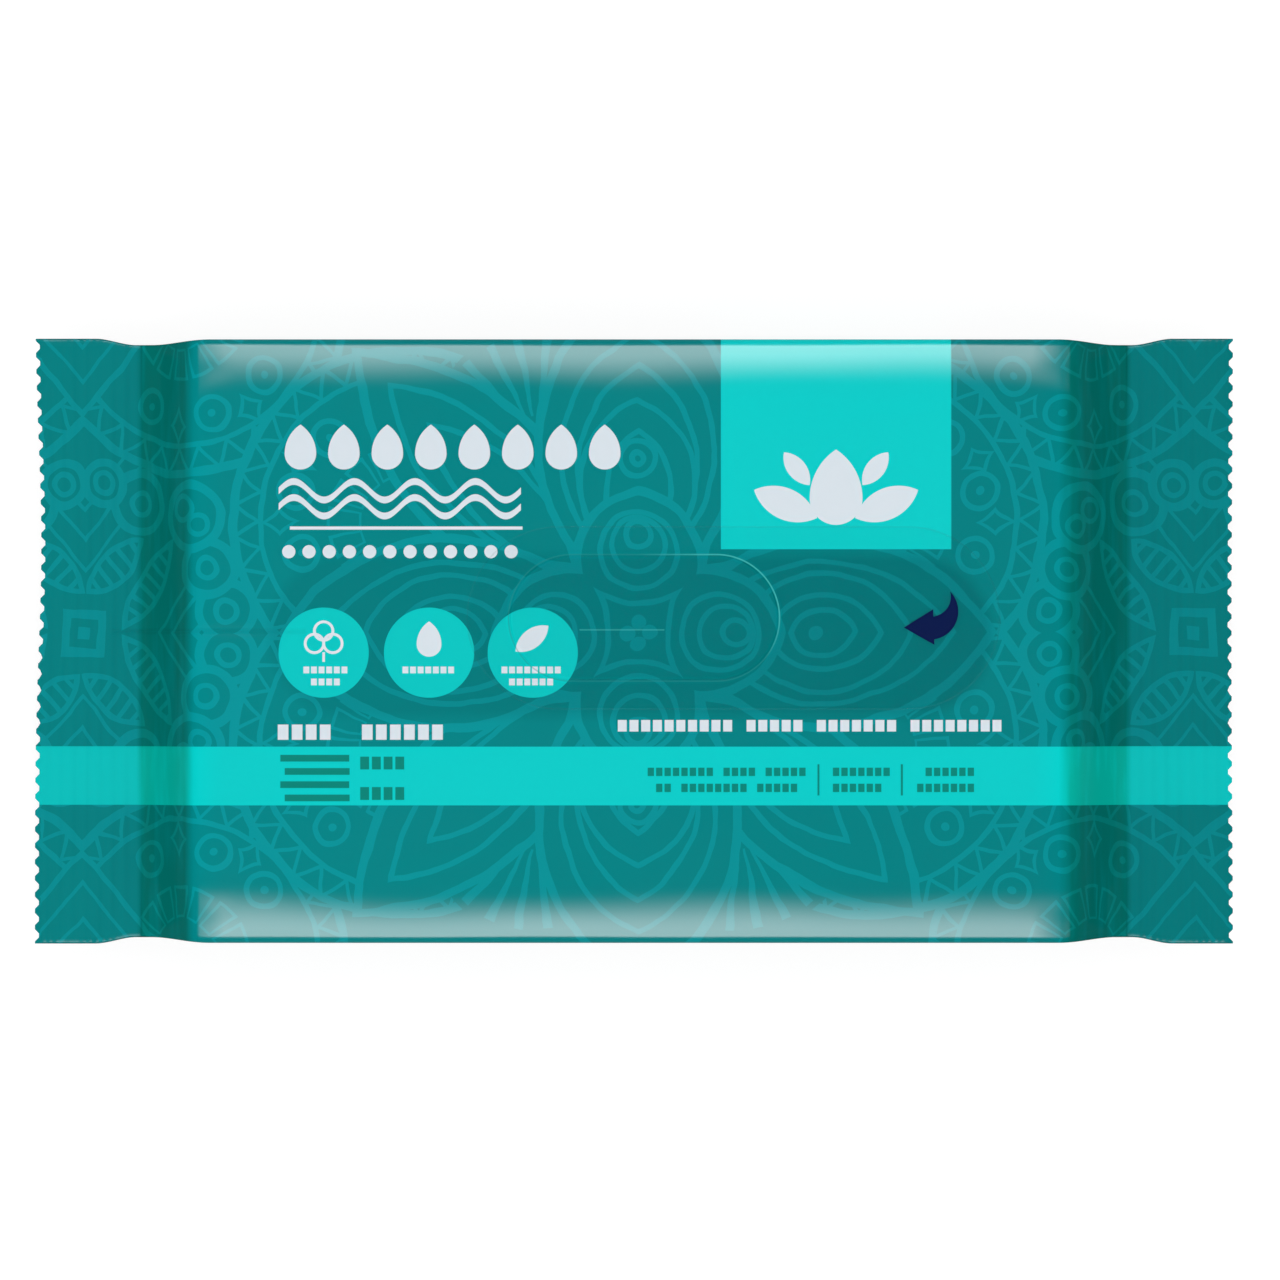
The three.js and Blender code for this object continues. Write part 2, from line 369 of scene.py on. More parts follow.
def stations():
    """Places along the pack of the film's rings, closer where it bends or is crimped."""
    seal = SEAL_START + np.arange(1, RINGS_A_RIB * RIB_COUNT - 2) * RIB_PITCH / RINGS_A_RIB
    lead = BODY_END - SLOPE_LEAD
    slope = np.linspace(lead, SEAL_START, SLOPE_RINGS)
    body = np.linspace(-lead, lead, BODY_RINGS)[1:-1]
    half = np.concatenate([slope, seal, [HALF_LENGTH]])
    return np.concatenate([-half[::-1], body, half])


def columns():
    """Lines of points along the pack, as steps round the tube from the top's centre line.

    0 to 1 is the top as far as the fold, 1 to 2 the side, 2 to 3 the back, and past 3 the seam."""
    top = np.append((np.arange(2 * TOOTH_COUNT) + 0.5) * TOOTH / 4 / SEAL_HALF_WIDTH, 1.0)
    side = np.linspace(1.0, 2.0, TUCKED_ROWS)[1:]
    back = 3.0 - top[-2::-1]
    fin = np.append(FIN_BEND, (np.arange(FIN_COLUMNS) + 0.5) * TOOTH / 4 + FIN_BEND)
    fin = 3.0 + fin / FIN_WIDTH
    half = np.concatenate([top, side, back, fin])
    return np.concatenate([-half[::-1], half])


def ring_points(x, steps):
    """Places across and up of one ring of film, and the film's distance round to each."""
    come_down = float(fall(x))
    in_seal = float(smooth(abs(x), SEAL_START - 1.2, SEAL_START + 0.6))
    rise = MIDDLE + (FILM_GAP - MIDDLE) * come_down
    at_cut = abs(x) == HALF_LENGTH
    if at_cut:
        rise = CUT_END_GAP
    width = half_width_at(x)
    lean, size = tube_shape(width, rise)
    fold = width + size * (SHOULDER_ARC - SHOULDER_RUN)
    side = np.sign(steps)
    past = np.maximum(0.0, np.abs(steps) - 3.0) * FIN_WIDTH
    half_girth = 2 * QUARTER
    distance = np.interp(np.abs(steps), [0.0, 1.0, 2.0, 3.0],
                         [0.0, fold, half_girth - fold, half_girth])
    under = distance > QUARTER
    folded = np.where(under, half_girth - distance, distance)
    y, z = quarter_section(width, rise, lean, size, folded)
    y = y * side
    z = np.where(under, -z, z)
    # four layers lie on each other where the sides are tucked into the seal
    if not at_cut:
        z = z + np.sign(z) * (TUCK_GAP - FILM_GAP) * in_seal * smooth(np.abs(y), *TUCK_EDGE)
    # the panel's dome, small folds and waves, all fading down the shoulder
    flatness = np.clip(z / max(rise, 0.01), -1.0, 1.0)
    folds = ripple(x, y) * (1 - SEAL_FLATTENING * in_seal)
    dome = CROWN * (np.abs(y) / BODY_HALF_WIDTH) ** 2 + PANEL_SAG
    z = z + np.clip(flatness, 0.0, 1.0) ** 2 * (folds - dome * (1 - come_down))
    if come_down > 0:
        z = z + np.clip(-flatness, 0.0, 1.0) ** 2 * np.abs(folds) * BACK_FOLDS
    # ribs pressed by the jaws, stronger in some places than in others
    phase = (abs(x) - SEAL_START) / RIB_PITCH * math.tau
    drift = y * 0.23 + abs(x) * 0.9 + (2.0 if x > 0 else 0.0)
    pressed = PRESS_MEAN + PRESS_SWING * np.sin(drift)
    grip = float(smooth(abs(x), SEAL_START, SEAL_START + RIB_PITCH))
    z = MIDDLE + z + RIB_HEIGHT * pressed * math.sin(phase) * grip
    # the back seam: both edges of the sheet folded over to one side and pressed flat, in a dent
    in_fin = past > 0
    y = np.where(in_fin, -past, y)
    near = FIN_WIDTH / 2 + TROUGH_MARGIN
    dent = 1 - smooth(np.abs(y + FIN_WIDTH / 2), near, near + TROUGH_RISE)
    z = z + np.where(under, FIN_THICKNESS * dent * (1 - in_seal), 0.0)
    outer = FIN_THICKNESS * smooth(past, 0.0, 0.5)
    inner = INNER_FIN_DEPTH * smooth(past, 0.0, 0.3)
    z = z - np.where(in_fin, np.where(steps > 0, outer, inner), 0.0)
    return y, np.maximum(z, np.where(under, FLOOR_CLEARANCE, 0.0)), (distance + past) * side


def cut_ends(x, y, steps):
    """Place along the pack of one ring's points, with the bow and the zigzag of the cut end."""
    end = -1 if x < 0 else 1
    bow, middle, reach = END_BOW[end]
    towards_cut = float(smooth(abs(x), SEAL_START, HALF_LENGTH))
    inset = bow * np.exp(-(((y - middle) / reach) ** 2)) * towards_cut
    if abs(x) == HALF_LENGTH:
        tooth = (y + SEAL_HALF_WIDTH) / TOOTH
        zigzag = np.clip(1.5 - 2 * np.abs(2 * (tooth - np.floor(tooth)) - 1), 0.0, 1.0)
        tucked = (np.abs(steps) > 1.0) & (np.abs(steps) < 2.0)
        inset = inset + TOOTH_DEPTH * np.where(tucked, 1.0, zigzag)
    return end * (abs(x) - inset)


def mesh_piece(name, points, faces, maps, node, material):
    """A smooth mesh from points in millimetres, riding on the pack in place of a CAD node."""
    mesh = bpy.data.meshes.new(name)
    mesh.from_pydata((np.asarray(points) * MM).tolist(), [], np.asarray(faces).tolist())
    for map_name, corners in maps.items():
        layer = mesh.uv_layers.new(name=map_name)
        layer.data.foreach_set("uv", np.asarray(corners, dtype=np.float32).ravel())
    mesh.shade_smooth()
    mesh.materials.append(material)
    mesh.update()
    piece = bpy.data.objects.new(name, mesh)
    bpy.context.scene.collection.objects.link(piece)
    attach(piece, "root")
    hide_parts(node)
    return piece


def film_reach(x):
    """The film's own distance along the pack from the middle to x, longer than x on the slopes."""
    fine = np.linspace(0.0, HALF_LENGTH, 1501)
    slope = (MIDDLE - FILM_GAP) * np.gradient(fall(fine), fine)
    strides = np.diff(fine) * np.hypot(1.0, (slope[1:] + slope[:-1]) / 2)
    reach = np.concatenate([[0.0], np.cumsum(strides)])
    return np.sign(x) * np.interp(np.abs(x), fine, reach)


def film_mesh(material):
    """The whole wrapper: rings of film joined along the pack, with the maps of the print."""
    places, steps = stations(), columns()
    rings, count = len(places), len(steps)
    points = np.zeros((rings, count, 3))
    around = np.zeros((rings, count))
    for i, x in enumerate(places):
        y, z, around[i] = ring_points(x, steps)
        points[i] = np.stack([cut_ends(x, y, steps), y, z], axis=1)
    along = film_reach(places)
    i, j = np.meshgrid(np.arange(rings - 1), np.arange(count), indexing="ij")
    k = (j + 1) % count
    corner_rings = np.stack([i, i, i + 1, i + 1], axis=-1).reshape(-1, 4)
    corner_columns = np.stack([j, k, k, j], axis=-1).reshape(-1, 4)
    faces = corner_rings * count + corner_columns
    closing = (j == count - 1).reshape(-1, 1)
    reached = np.where(closing, around[0, -1], around[corner_rings, corner_columns])
    film_map = np.stack([along[corner_rings], reached], axis=-1)
    middle_ring = around[rings // 2]
    bake_u = (along[corner_rings] - along[0]) / (along[-1] - along[0])
    bake_v = (middle_ring[corner_columns] - middle_ring[0]) / (middle_ring[-1] - middle_ring[0])
    bake_v = bake_v * BAKE_MARGIN
    edge_v = np.where(corner_columns == 0, 1.0, BAKE_CLOSING_EDGE)
    bake_map = np.stack([bake_u, np.where(closing, edge_v, bake_v)], axis=-1)
    maps = {"film": film_map, "OFBake": bake_map}
    return mesh_piece("printed_wrapper", points.reshape(-1, 3), faces, maps,
                      "film_wrapper", material)


# The print is in two inks over the teal film: tone-on-tone line ornament of petals, rings and
# toothed bands, mirrored about its own centre, and fields of turquoise with small white and dark
# signs on them. Everything is placed in film millimetres, flat as the sheet was printed.
BASE_TEAL = (0.0004, 0.214, 0.222, 1.0)
LINE_TEAL = (0.0012, 0.275, 0.298, 1.0)
TURQUOISE = (0.001, 0.585, 0.567, 1.0)
BADGE_TURQUOISE = (0.001, 0.548, 0.527, 1.0)
WHITE_INK = (0.665, 0.735, 0.79, 1.0)
DARK_INK = (0.003, 0.225, 0.18, 1.0)
ORNAMENT_CENTRE = (0.5, 1.06)
REPEAT_LENGTH = 73.25
REPEAT_WIDTH = 45.5
THIN, THICK = 0.34, 0.55
WOBBLE_SIZE = 0.16
WOBBLE_REACH = 1.3

film_material, start = shader_tree("printed_film")
film_map = start.node("UVMap", {"uv_map": "film"})
film_u = start.node("SeparateXYZ", {}, {0: film_map})
film_s = start.node("SeparateXYZ", {}, {0: film_map}, output=1)


def joined(x, y):
    """A vector socket from two numbers."""
    return x.node("CombineXYZ", {}, {0: x, 1: y})


def vesica(point, x, y, half_length, half_width, turn=0.0):
    """How far a point is from the farther of the two arcs that bound a pointed leaf."""
    radius = (half_length**2 + half_width**2) / (2 * half_width)
    out = radius - half_width
    dx, dy = -math.sin(turn) * out, math.cos(turn) * out
    return (point.distance(x + dx, y + dy) | point.distance(x - dx, y - dy)) - radius


# the sheet's drawing has a slight hand-drawn wobble
wobble = start.node("TexNoise", {}, {"Vector": film_map, "Scale": WOBBLE_SIZE, "Detail": 2.6},
                    output=1)
wobble_x = (start.node("SeparateXYZ", {}, {0: wobble}) - 0.5) * WOBBLE_REACH
wobble_y = (start.node("SeparateXYZ", {}, {0: wobble}, output=1) - 0.5) * WOBBLE_REACH
fold_x = (film_u - ORNAMENT_CENTRE[0] + wobble_x).math("PINGPONG", REPEAT_LENGTH)
fold_y = (film_s - ORNAMENT_CENTRE[1] + wobble_y).math("PINGPONG", REPEAT_WIDTH)
motif = joined(fold_x, fold_y)
from_axis = REPEAT_LENGTH - fold_x


def ringed_cell(lines, x, y, cell, *rings):
    """A round cell bounded by a heavy line, cleared inside, with one or more small rings in it."""
    away = motif.distance(x, y)
    lines = (lines & (away > cell)) | away.near(cell, THICK)
    for ring_x, ring_y, radius in rings:
        lines = lines | motif.distance(ring_x, ring_y).near(radius, THIN)
    return lines


# leaning bars, laddered leaves and cells with rings towards the ends
SEAL_FIELD = 9.0
slope = fold_x + fold_y
lines = (slope.near(55.3, THICK) | slope.near(59.4, THIN) | slope.near(62.4, THIN)) & (fold_y < 10.0)
slant = fold_y - from_axis * 1.17
for level in (7.9, 11.7, 15.2):
    lines = lines | (slant.near(level, THIN) & (from_axis < SEAL_FIELD))
for x, y, half, lean in ((63.9, 5.9, 6.6, -52.0), (69.2, 8.3, 4.7, -40.0)):
    turn = math.radians(lean)
    blade = vesica(motif, x, y, half, 1.9, turn)
    along = fold_x * math.cos(turn) + fold_y * math.sin(turn)
    rungs = along.math("PINGPONG", 0.85) < 0.3
    lines = (lines & (blade > 0.3)) | blade.near(0.0, THIN) | (rungs & (blade < 0.0))
lines = lines & (fold_x > 51.0)
lines = ringed_cell(lines, 51.3, 2.7, 3.4, (51.3, 2.7, 1.3))
lines = ringed_cell(lines, 53.7, 8.0, 3.4, (53.7, 8.0, 1.3))
lines = ringed_cell(lines, 56.0, 14.4, 4.0, (54.8, 13.4, 1.2), (57.2, 15.4, 1.5))
lines = ringed_cell(lines, 65.6, 16.2, 3.7, (65.6, 16.2, 1.4))
lines = ringed_cell(lines, 70.6, 18.6, 2.6, (70.6, 18.6, 1.2))
boxed = from_axis | fold_y
lines = (lines & (boxed > 2.4)) | boxed.near(2.4, THICK) | (boxed < 0.8)


def lozenge(x, y, turn):
    """The outline of a small four-cornered stone with hollow sides."""
    dx, dy = fold_x - x, fold_y - y
    along = abs(dx * math.cos(turn) + dy * math.sin(turn)) / 2.1
    across = abs(dy * math.cos(turn) - dx * math.sin(turn)) / 1.5
    return (along**0.8 + across**0.8).near(1.0, 0.17)


SCALLOP = 21.3
TEETH_FOOT = 17.9
TEETH_MIDDLE = (TEETH_FOOT + SCALLOP) / 2
TEETH_RUN, TEETH_SLOPE = 1.9, 1.6


def scallop(lines, x, y, rings, gems):
    """A round field with a toothed band along its edge, and rings and lozenges set inside it."""
    away = motif.distance(x, y)
    turn = (fold_y - y).math("ARCTAN2", fold_x - x)
    teeth = (turn * TEETH_MIDDLE).math("PINGPONG", TEETH_RUN) * TEETH_SLOPE + (TEETH_FOOT + 0.3)
    lines = (lines & (away > SCALLOP + 0.2)) | away.near(TEETH_FOOT, THIN) | away.near(SCALLOP, THICK)
    lines = lines | (away.near(teeth, 0.42) & (away > TEETH_FOOT) & (away < SCALLOP))
    for ring_x, ring_y in rings:
        ring = motif.distance(ring_x, ring_y)
        lines = lines | ring.near(2.1, THIN) | (ring < 0.5)
    for gem_x, gem_y in gems:
        lines = lines | lozenge(gem_x, gem_y, math.atan2(gem_y - y, gem_x - x))
    ray = (turn + math.pi / 2).math("PINGPONG", 0.2)
    rays = ray.near(0.14, 0.022) | ((ray < 0.14) & (away.near(5.5, 0.2) | away.near(9.4, 0.22)))
    return lines | (rays & away.near(7.5, 2.1))


lines = scallop(lines, 57.8, 41.1, ((46.7, 32.1), (52.9, 27.5), (63.8, 28.4)),
                ((48.4, 28.0), (58.3, 25.7)))
lines = scallop(lines, 29.2, 14.0, ((42.7, 17.6), (41.9, 9.7), (38.3, 24.2)),
                ((44.7, 13.8), (42.3, 21.4)))

# steep chevrons on the line where the repeat turns over, in the crimped ends
CHEVRON_FIELD = 9.3
lines = lines & ((slant < 27.0) | (from_axis > CHEVRON_FIELD))
for level, reach in ((27.4, THICK), (31.4, THIN), (35.7, THIN)):
    lines = lines | (slant.near(level, reach) & (from_axis < CHEVRON_FIELD))

# stamens that fan out between the petals
FAN = (12.6, 24.0)
away = motif.distance(*FAN)
turn = (fold_y - FAN[1]).math("ARCTAN2", fold_x - FAN[0])
stamens = ((turn * 2.6).math("PINGPONG", 0.36) < 0.12) & (away > 3.0)
lines = (lines & (away > 14.0)) | (stamens & (away < 13.2))


def petals(lines, turn, leaves):
    """Nested pointed petals along one line from the centre, the outermost with a heavy line.

    Each is given by its foot, its tip and its half width."""
    for order, (foot, tip, half) in enumerate(leaves):
        middle = (foot + tip) / 2
        x, y = middle * math.cos(turn), middle * math.sin(turn)
        edge = vesica(motif, x, y, (tip - foot) / 2, half, turn)
        if order == 0:
            lines = (lines & (edge > 0.0)) | edge.near(0.0, THICK)
        else:
            lines = lines | edge.near(0.0, THIN)
    return lines


def eye(lines, x, y, radii):
    """Rings round one point inside a petal."""
    for radius in radii:
        lines = lines | motif.distance(x, y).near(radius, THIN)
    return lines


lines = petals(lines, math.radians(45.0), ((4.4, 49.5, 8.8), (11.5, 43.6, 5.5), (10.9, 36.7, 4.0)))
upright = ((3.8, 43.8, 12.4), (7.5, 37.6, 9.6), (7.9, 33.4, 7.5), (8.8, 28.9, 7.2), (11.0, 25.0, 4.0))
lines = petals(lines, math.radians(90.0), upright)
lines = eye(lines, 0.0, 21.6, (0.7, 2.1))
level = ((3.5, 44.1, 11.8), (7.3, 39.1, 8.8), (12.3, 34.1, 7.3), (16.0, 30.3, 4.6), (19.0, 27.0, 2.9))
lines = petals(lines, 0.0, level)
lines = lines | (motif.distance(22.2, 0.0) < 0.9)

# the middle: four round-backed pointed arches with nested rings, a curved square and a flower
near_axis = joined(fold_x | fold_y, fold_x.math("MINIMUM", fold_y))
ARCH = 9.3
arch = near_axis.distance(8.65, -1.54)
inner = near_axis.distance(10.2, 0.0).near(4.8, THIN)
for place, radius in ((11.0, 3.3), (12.2, 1.55), (14.4, 10.75)):
    inner = inner | near_axis.distance(place, 0.0).near(radius, THIN)
inner = inner | (near_axis.distance(1.35, 0.0) < 0.95)
lines = (lines & (arch > ARCH)) | arch.near(ARCH, THICK) | (inner & (arch < ARCH))

# painted shade: the line ink and the teal are darkened over a soft round-ended strip along the middle
# of the panel, more so towards the right, and the whole film grows a little darker towards the right
# end
PAINTED_SHADE_MIDDLE = (-0.4, 0.65)
PAINTED_SHADE_STRAIGHT, PAINTED_SHADE_RADIUS, PAINTED_SHADE_SOFTNESS = 35.0, 10.9, 1.6
PAINTED_SHADE_DEPTH, DARKENING_TO_RIGHT = 0.165, 0.001
beyond = (abs(film_u - PAINTED_SHADE_MIDDLE[0]) - PAINTED_SHADE_STRAIGHT).math("MAXIMUM", 0.0)
painted_shade = PAINTED_SHADE_RADIUS - joined(beyond, film_s - PAINTED_SHADE_MIDDLE[1]).distance(0.0, 0.0)
painted_shade = (painted_shade / PAINTED_SHADE_SOFTNESS).math("MINIMUM", 1.0).math("MAXIMUM", 0.0)
painted_shade_and_darkening = (1.0 - film_u * DARKENING_TO_RIGHT) * (1.0 - painted_shade * (film_u * DARKENING_TO_RIGHT + PAINTED_SHADE_DEPTH))
colour = lines.mixed(BASE_TEAL, LINE_TEAL)
colour = start.node("VectorMath", {"operation": "SCALE"}, {0: colour, "Scale": painted_shade_and_darkening})

# fields of turquoise: a band along the whole film, a square over the far shoulder, three badges
BAND_AT, BAND_REACH = -16.82, 3.66
SQUARE_AT, SQUARE_REACH = 25.2, 14.36
SQUARE_FOOT, SQUARE_TOP = 11.46, 52.0
BADGE_ROW = -1.44
BADGES = (-38.69, -25.55, -12.62)
BADGE_RADIUS = 5.62

print_point = joined(film_u, film_s)
band = film_s.near(BAND_AT, BAND_REACH)
square = film_u.near(SQUARE_AT, SQUARE_REACH) & (film_s > SQUARE_FOOT) & (film_s < SQUARE_TOP)
colour = (band | square).mixed(colour, TURQUOISE)
badge = print_point.distance(BADGES[0], BADGE_ROW)
for x in BADGES[1:]:
    badge = badge.math("MINIMUM", print_point.distance(x, BADGE_ROW))
colour = (badge < BADGE_RADIUS).mixed(colour, BADGE_TURQUOISE)


def box(x, y, half_width, half_height):
    """An upright bar round a point of the print."""
    return film_u.near(x, half_width) & film_s.near(y, half_height)


def droplet(point, across, x, y, size):
    """A drop with its point up, as tall as its size."""
    waist = y - 0.15 * size
    bulb = point.distance(x, waist) < 0.35 * size
    tip = (vesica(point, x, waist, 0.65 * size, 0.35 * size, math.pi / 2) < 0.0) & (across > waist)
    return bulb | tip


def leaf(point, x, y, size, turn):
    """A pointed leaf, as long as its size."""
    return vesica(point, x, y, size / 2, size / 4.4, turn) < 0.0


# white signs one under another: a row of drops, two waves, a fine rule and a row of dots
HEADING_START = -44.3
HEADING_WIDTH = 30.2
DROP_COUNT, DROP_PITCH, DROP_ROW, DROP_SIZE = 8, 5.42, 24.2, 5.6
WAVE_LENGTH, WAVE_SWING, WAVE_LINE = 7.55, 1.15, 0.42
DOT_PITCH, DOT_ROW, DOT_RADIUS = 2.52, 11.15, 0.82

white = box(-28.4, 14.1, 14.5, 0.2)
from_start = film_u - HEADING_START
heading = from_start.near(HEADING_WIDTH / 2, HEADING_WIDTH / 2)
repeat = from_start.math("WRAP", DROP_PITCH, 0.0)
drops = droplet(joined(repeat, film_s), film_s, DROP_PITCH / 2, DROP_ROW, DROP_SIZE)
white = white | (drops & (from_start > 0.0) & (from_start < DROP_COUNT * DROP_PITCH))
wave = film_s - (from_start * (math.tau / WAVE_LENGTH)).math("SINE") * WAVE_SWING
waves = wave.near(18.75, WAVE_LINE) | wave.near(16.75, WAVE_LINE)
white = white | (waves & heading)
repeat = from_start.math("WRAP", DOT_PITCH, 0.0)
dots = joined(repeat, film_s).distance(DOT_PITCH / 2, DOT_ROW) < DOT_RADIUS
white = white | (dots & heading)


NOTE_PITCH = 1.46


def dashes(y, half_height, spans, pitch):
    """A line of small blocks in groups, each group within a span of the print."""
    groups = None
    for first, last in spans:
        first, last = round(first / pitch + 0.4) * pitch, round(last / pitch - 0.4) * pitch
        group = film_u.near((first + last) / 2, (last - first) / 2 + pitch * 0.45)
        groups = group if groups is None else groups | group
    blocks = film_u.math("PINGPONG", pitch / 2) < pitch * 0.38
    return groups & blocks & film_s.near(y, half_height)


notes = ((-2.6, 12.3), (14.0, 20.8), (22.6, 32.2), (34.0, 46.0))
white = white | dashes(-11.35, 0.95, ((-44.3, -37.3), (-34.6, -23.6)), 1.75)
white = white | dashes(-10.55, 0.72, notes, NOTE_PITCH)

# a boll of cotton, a drop and a leaf in the badges, each over its own small line
LOBE = 1.15
for x, y in ((-LOBE, LOBE), (LOBE, LOBE), (0.0, 2.7)):
    lobe = print_point.distance(BADGES[0] + x, BADGE_ROW + y)
    white = white | lobe.near(LOBE, 0.17)
white = white | box(BADGES[0], BADGE_ROW - 0.55, 0.16, 0.6)
white = white | droplet(print_point, film_s, BADGES[1], BADGE_ROW + 1.7, 4.4)
white = white | leaf(print_point, BADGES[2] - 0.1, BADGE_ROW + 1.75, 5.2, math.radians(38.0))
SMALL_HEIGHT, SMALL_PITCH = 0.42, 0.95
notes = ((-41.5, -35.9), (-29.0, -22.1), (-16.1, -9.1))
small = dashes(BADGE_ROW - 2.15, SMALL_HEIGHT, notes, SMALL_PITCH)
notes = ((-40.5, -36.9), (-15.2, -10.0))
white = white | small | dashes(BADGE_ROW - 3.65, SMALL_HEIGHT, notes, SMALL_PITCH)

# a drop between two leaves in the square
EMBLEM = (25.2, 18.6)
white = white | droplet(print_point, film_s, EMBLEM[0], EMBLEM[1] + 0.6, 9.4)
for side in (-1, 1):
    for out, up, size, lean in ((6.3, -1.5, 8.6, 24.0), (4.9, 2.9, 5.2, 52.0)):
        turn = math.radians(90.0 - side * (90.0 - lean))
        white = white | leaf(print_point, EMBLEM[0] + side * out, EMBLEM[1] + up, size, turn)
colour = white.mixed(colour, WHITE_INK)

# dark signs on the band: a pile of folded sheets, two short lines of blocks, and two long ones
# crossed by upright rules
PILE_AT, PILE_TOP, SHEET_PITCH = -39.8, -14.6, 1.65
FINE_HEIGHT, FINE_PITCH = 0.52, 1.05
dark = None
for i in range(4):
    half = 4.3 - 0.25 * (i % 2)
    bar = box(PILE_AT + 0.3 * (i % 2), PILE_TOP - SHEET_PITCH * i, half, 0.42)
    dark = bar if dark is None else dark | bar
for y in (-15.2, -19.0):
    dark = dark | dashes(y, 0.8, ((-33.7, -29.3),), NOTE_PITCH)
notes = ((1.4, 9.8), (10.9, 15.6), (16.8, 21.4), (24.5, 31.6), (36.6, 42.2))
dark = dark | dashes(-16.3, FINE_HEIGHT, notes, FINE_PITCH)
notes = ((2.4, 4.3), (5.4, 14.1), (15.2, 20.8), (25.0, 31.2), (35.3, 42.7))
dark = dark | dashes(-18.3, FINE_HEIGHT, notes, FINE_PITCH)
for x in (23.0, 33.4):
    dark = dark | box(x, -17.3, 0.13, 1.95)
colour = dark.mixed(colour, DARK_INK)

# the die-cut line: a hair's width of painted shade along the slit, with a painted glint on it that is
# brightest on the upper right, and a fine painted highlight along a slight crease across the flap
CUT_SHADE = (0.0, 0.07, 0.08, 1.0)
CUT_GLINT = (0.06, 0.58, 0.55, 1.0)
HAIR = 0.09
GLINT_LEAST, GLINT_MOST = 0.15, 0.6
flap_low, flap_high = (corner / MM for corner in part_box("opening_flap"))
CUT_GAP = 0.3
CUT_MIDDLE = ((flap_low.x + flap_high.x) / 2, (flap_low.y + flap_high.y) / 2)
CUT_RADIUS = (flap_high.y - flap_low.y) / 2 + CUT_GAP
CUT_STRAIGHT = (flap_high.x - flap_low.x) / 2 + CUT_GAP - CUT_RADIUS


def round_ended(straight, middle):
    """Distance from the middle line of a straight-sided outline with round ends."""
    beyond = (abs(film_u - middle[0]) - straight) | 0.0
    return joined(beyond, film_s - middle[1]).distance(0.0, 0.0)


cut = round_ended(CUT_STRAIGHT, CUT_MIDDLE)
cut_line = cut.near(CUT_RADIUS - 0.1, HAIR)
# painted glint: stronger towards the upper right of the cut line
glint = (film_u - 8.0) * 0.05 + (film_s - 2.0) * 0.06
glint = glint.math("MAXIMUM", GLINT_LEAST).math("MINIMUM", GLINT_MOST)
crease_highlight = film_s.near(1.4, HAIR) & film_u.near(-1.5, 5.3)
colour = (cut_line & 0.35).mixed(colour, CUT_SHADE)
colour = ((cut_line & glint) | (crease_highlight & 0.3)).mixed(colour, CUT_GLINT)

# painted shade: faint dark streaks in the crimped ends in place of the shade of the jaws' ribs, a
# dark line in the crease where the seal begins, and the whole seal a little darker
SEAL_SHADE = (0.0, 0.08, 0.075, 1.0)
SEAL_DARKENING = 0.15
seal_at = float(film_reach(SEAL_START))
from_seal = abs(film_u) - seal_at
drawn_out = joined(film_u, film_s * 0.12)
streak = start.node("TexNoise", {}, {"Vector": drawn_out, "Scale": 0.6, "Detail": 2.0})
# painted shade of the streaks and of the crease line at the seal's start
pressed = ((streak - 0.48) * 0.8).math("MAXIMUM", 0.0).math("MINIMUM", 0.1) & (from_seal > 0.0)
near_edge = (abs(film_s) / 38.0) ** 4
pressed = pressed | (from_seal.near(-0.15, 0.16) & (near_edge * 0.3 + 0.08))
colour = (pressed | ((from_seal > 0.0) & SEAL_DARKENING)).mixed(colour, SEAL_SHADE)

# on the slopes the film is drawn down and crumpled fine, so its skin is duller there, and its colour
# is darkened with painted shade, more in blue than in green, in faint streaks
SLOPE_PAINTED_SHADE = (1.0, 0.66, 0.55, 1.0)
DRAWN_REACH, DRAWN_START = 10.4, 1.6
DULL_REACH, DULL_START = 14.2, 3.8
at_right = film_u > 0.0
before_seal = (0.5 - from_seal) / 0.8
past_body = (from_seal + at_right * 2.0 + DRAWN_REACH) / DRAWN_START
shaded_slope = past_body.math("MINIMUM", before_seal).math("MINIMUM", 1.0).math("MAXIMUM", 0.0)
slope_shade = (shaded_slope * (streak * 1.4 + 0.25)).mixed(WHITE, SLOPE_PAINTED_SHADE)
colour = start.node("VectorMath", {"operation": "MULTIPLY"}, {0: colour, 1: slope_shade})
dull = (from_seal + at_right * 1.5 + DULL_REACH) / DULL_START
dull = dull.math("MINIMUM", before_seal)
dull = dull.math("MINIMUM", 1.0).math("MAXIMUM", 0.0) | cut.near(CUT_RADIUS - 0.2, 0.4)

# the film's sheen: a clear glossy skin over the ink, with fine cockles, ribs pressed into the back
# seam and one long soft crease
COCKLE_HEIGHT = 0.03
FIN_RIB_PITCH, FIN_RIB_HEIGHT = 1.2, 0.05
CREASE_LINE, CREASE_REACH, CREASE_HEIGHT = 1.25, 0.32, 0.4
INK_ROUGHNESS = 0.5
SKIN_ROUGHNESS, SKIN_IOR = 0.12, 1.62
SKIN_DULLING = 0.88
cockle = start.node("TexNoise", {}, {"Vector": film_map, "Scale": 0.55, "Detail": 2.0})
fin_ribs = (film_u * (math.tau / FIN_RIB_PITCH)).math("SINE") & (abs(film_s) > 2 * QUARTER)
crease = (CREASE_REACH - abs(film_s - CREASE_LINE)).math("MAXIMUM", 0.0)
crease = crease & film_u.near(-55.0, 14.0)
relief = cockle * COCKLE_HEIGHT + fin_ribs * FIN_RIB_HEIGHT + crease * CREASE_HEIGHT
bumps = start.node("Bump", {}, {"Strength": 1.0, "Distance": MM, "Height": relief})
